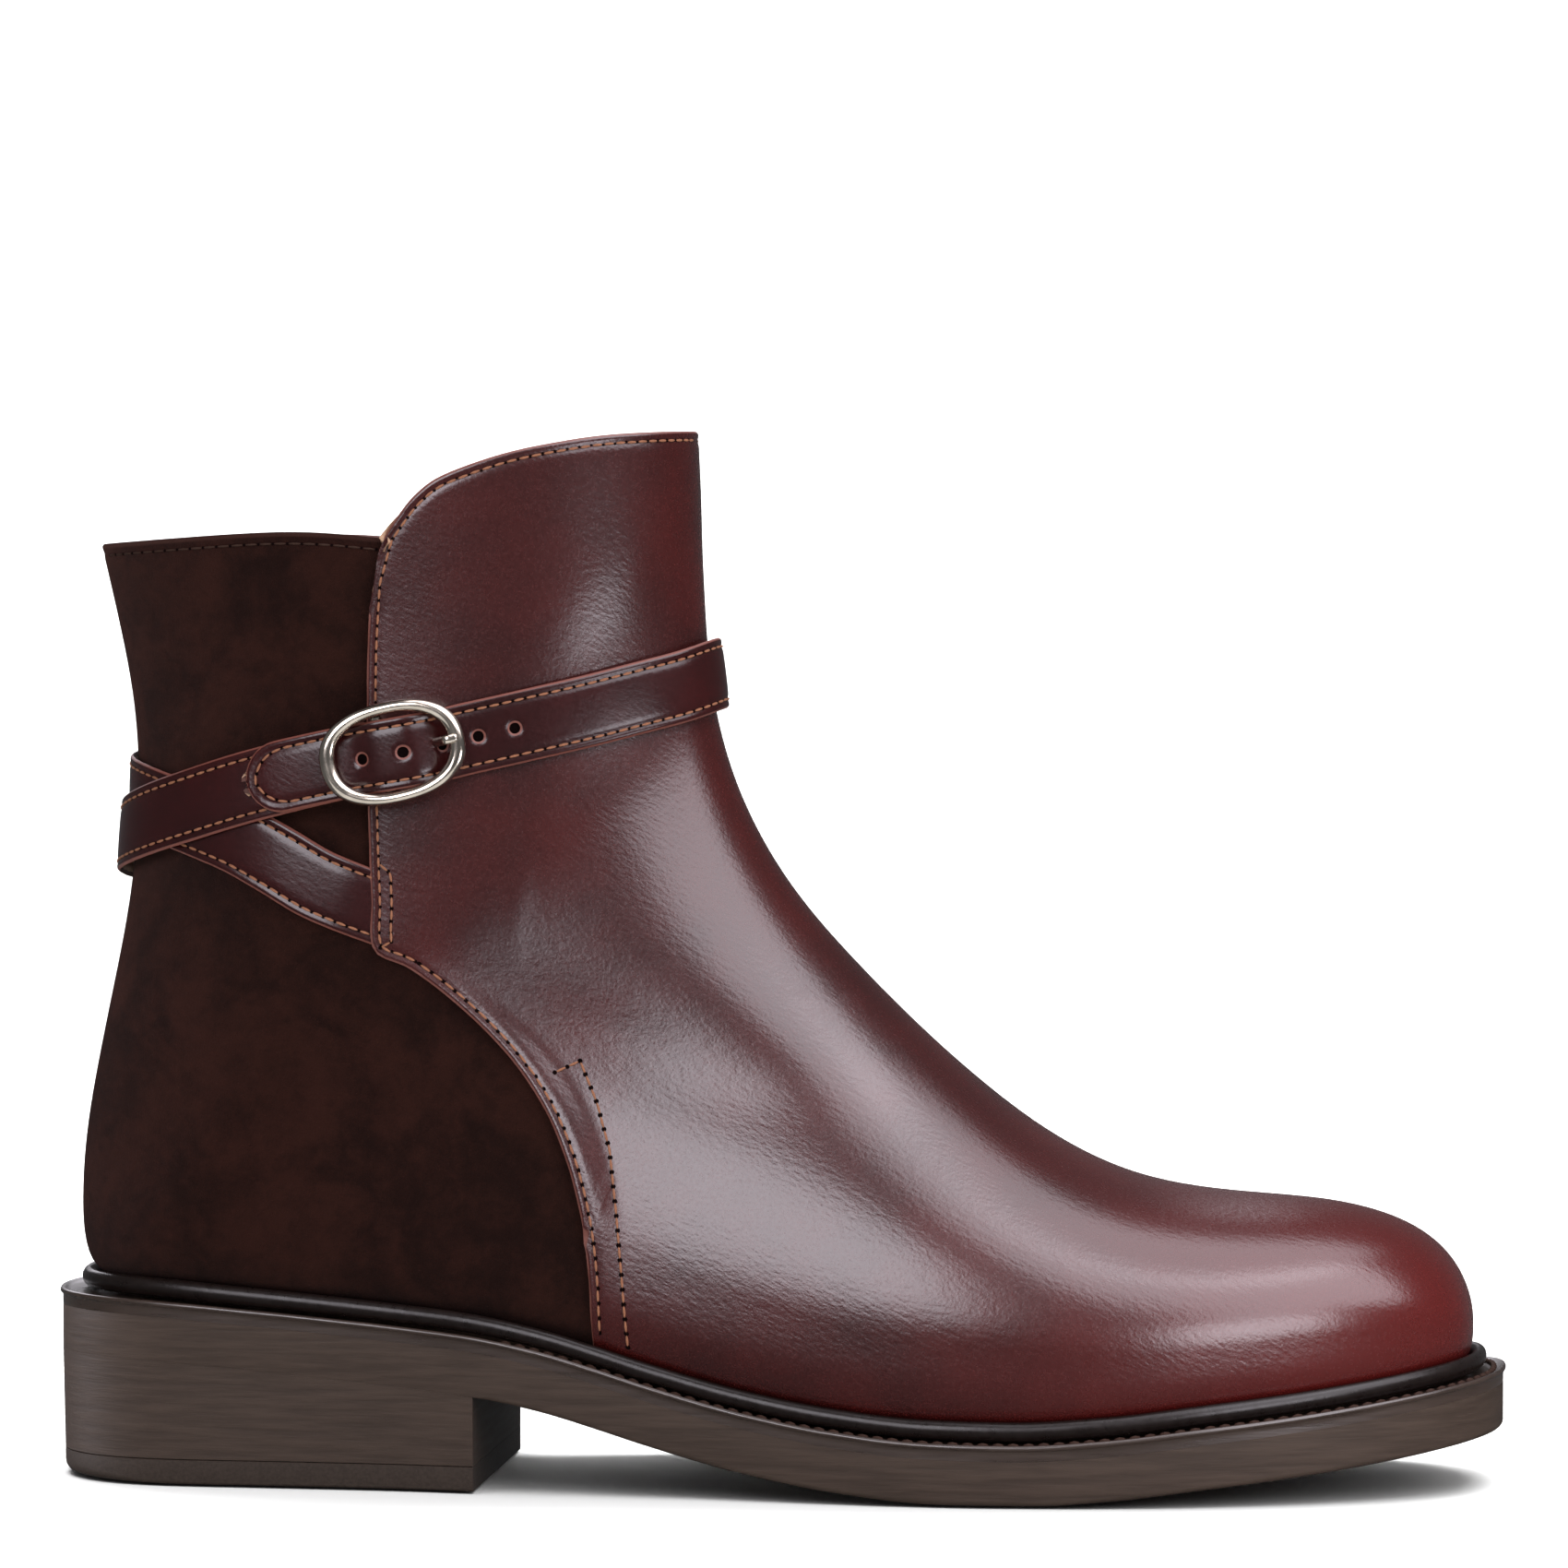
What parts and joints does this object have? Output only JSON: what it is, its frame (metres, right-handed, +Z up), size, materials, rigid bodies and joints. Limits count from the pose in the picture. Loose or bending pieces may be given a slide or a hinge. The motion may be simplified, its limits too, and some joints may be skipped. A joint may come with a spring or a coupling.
{
  "type": "strapped ankle boot",
  "caption": "Right ankle boot with a leather vamp, suede quarter, wrapped ankle strap with an oval buckle, and a low block heel on a welted sole.",
  "frame": {"origin": "on the floor under the middle of the sole", "axes": "+X to the toe, -Y to the outer side of the foot, +Z up"},
  "size_m": [0.2762, 0.0955, 0.1985],
  "materials": {
    "vamp_leather": "polished oxblood calf with fine grain",
    "quarter_suede": "dark brown brushed suede",
    "strap_leather": "polished oxblood strap leather with stitched edges",
    "buckle_metal": "polished pale nickel",
    "rand_leather": "dark waxed leather",
    "welt_leather": "burnished dark brown edge",
    "sole_leather": "inked and waxed dark brown edge",
    "heel_rubber": "matte dark rubber",
    "insole_leather": "plain tan leather"
  },
  "bodies": {
    "root": {"upper": "quarter_suede", "vamp": "vamp_leather", "wrap_strap": "strap_leather", "buckle_strap": "strap_leather", "buckle_frame": "buckle_metal", "buckle_prong": "buckle_metal", "rand": "rand_leather", "welt": "welt_leather", "outsole": "sole_leather", "heel_stack": "sole_leather", "heel_top_piece": "heel_rubber", "insole": "insole_leather"}
  },
  "joints": []
}
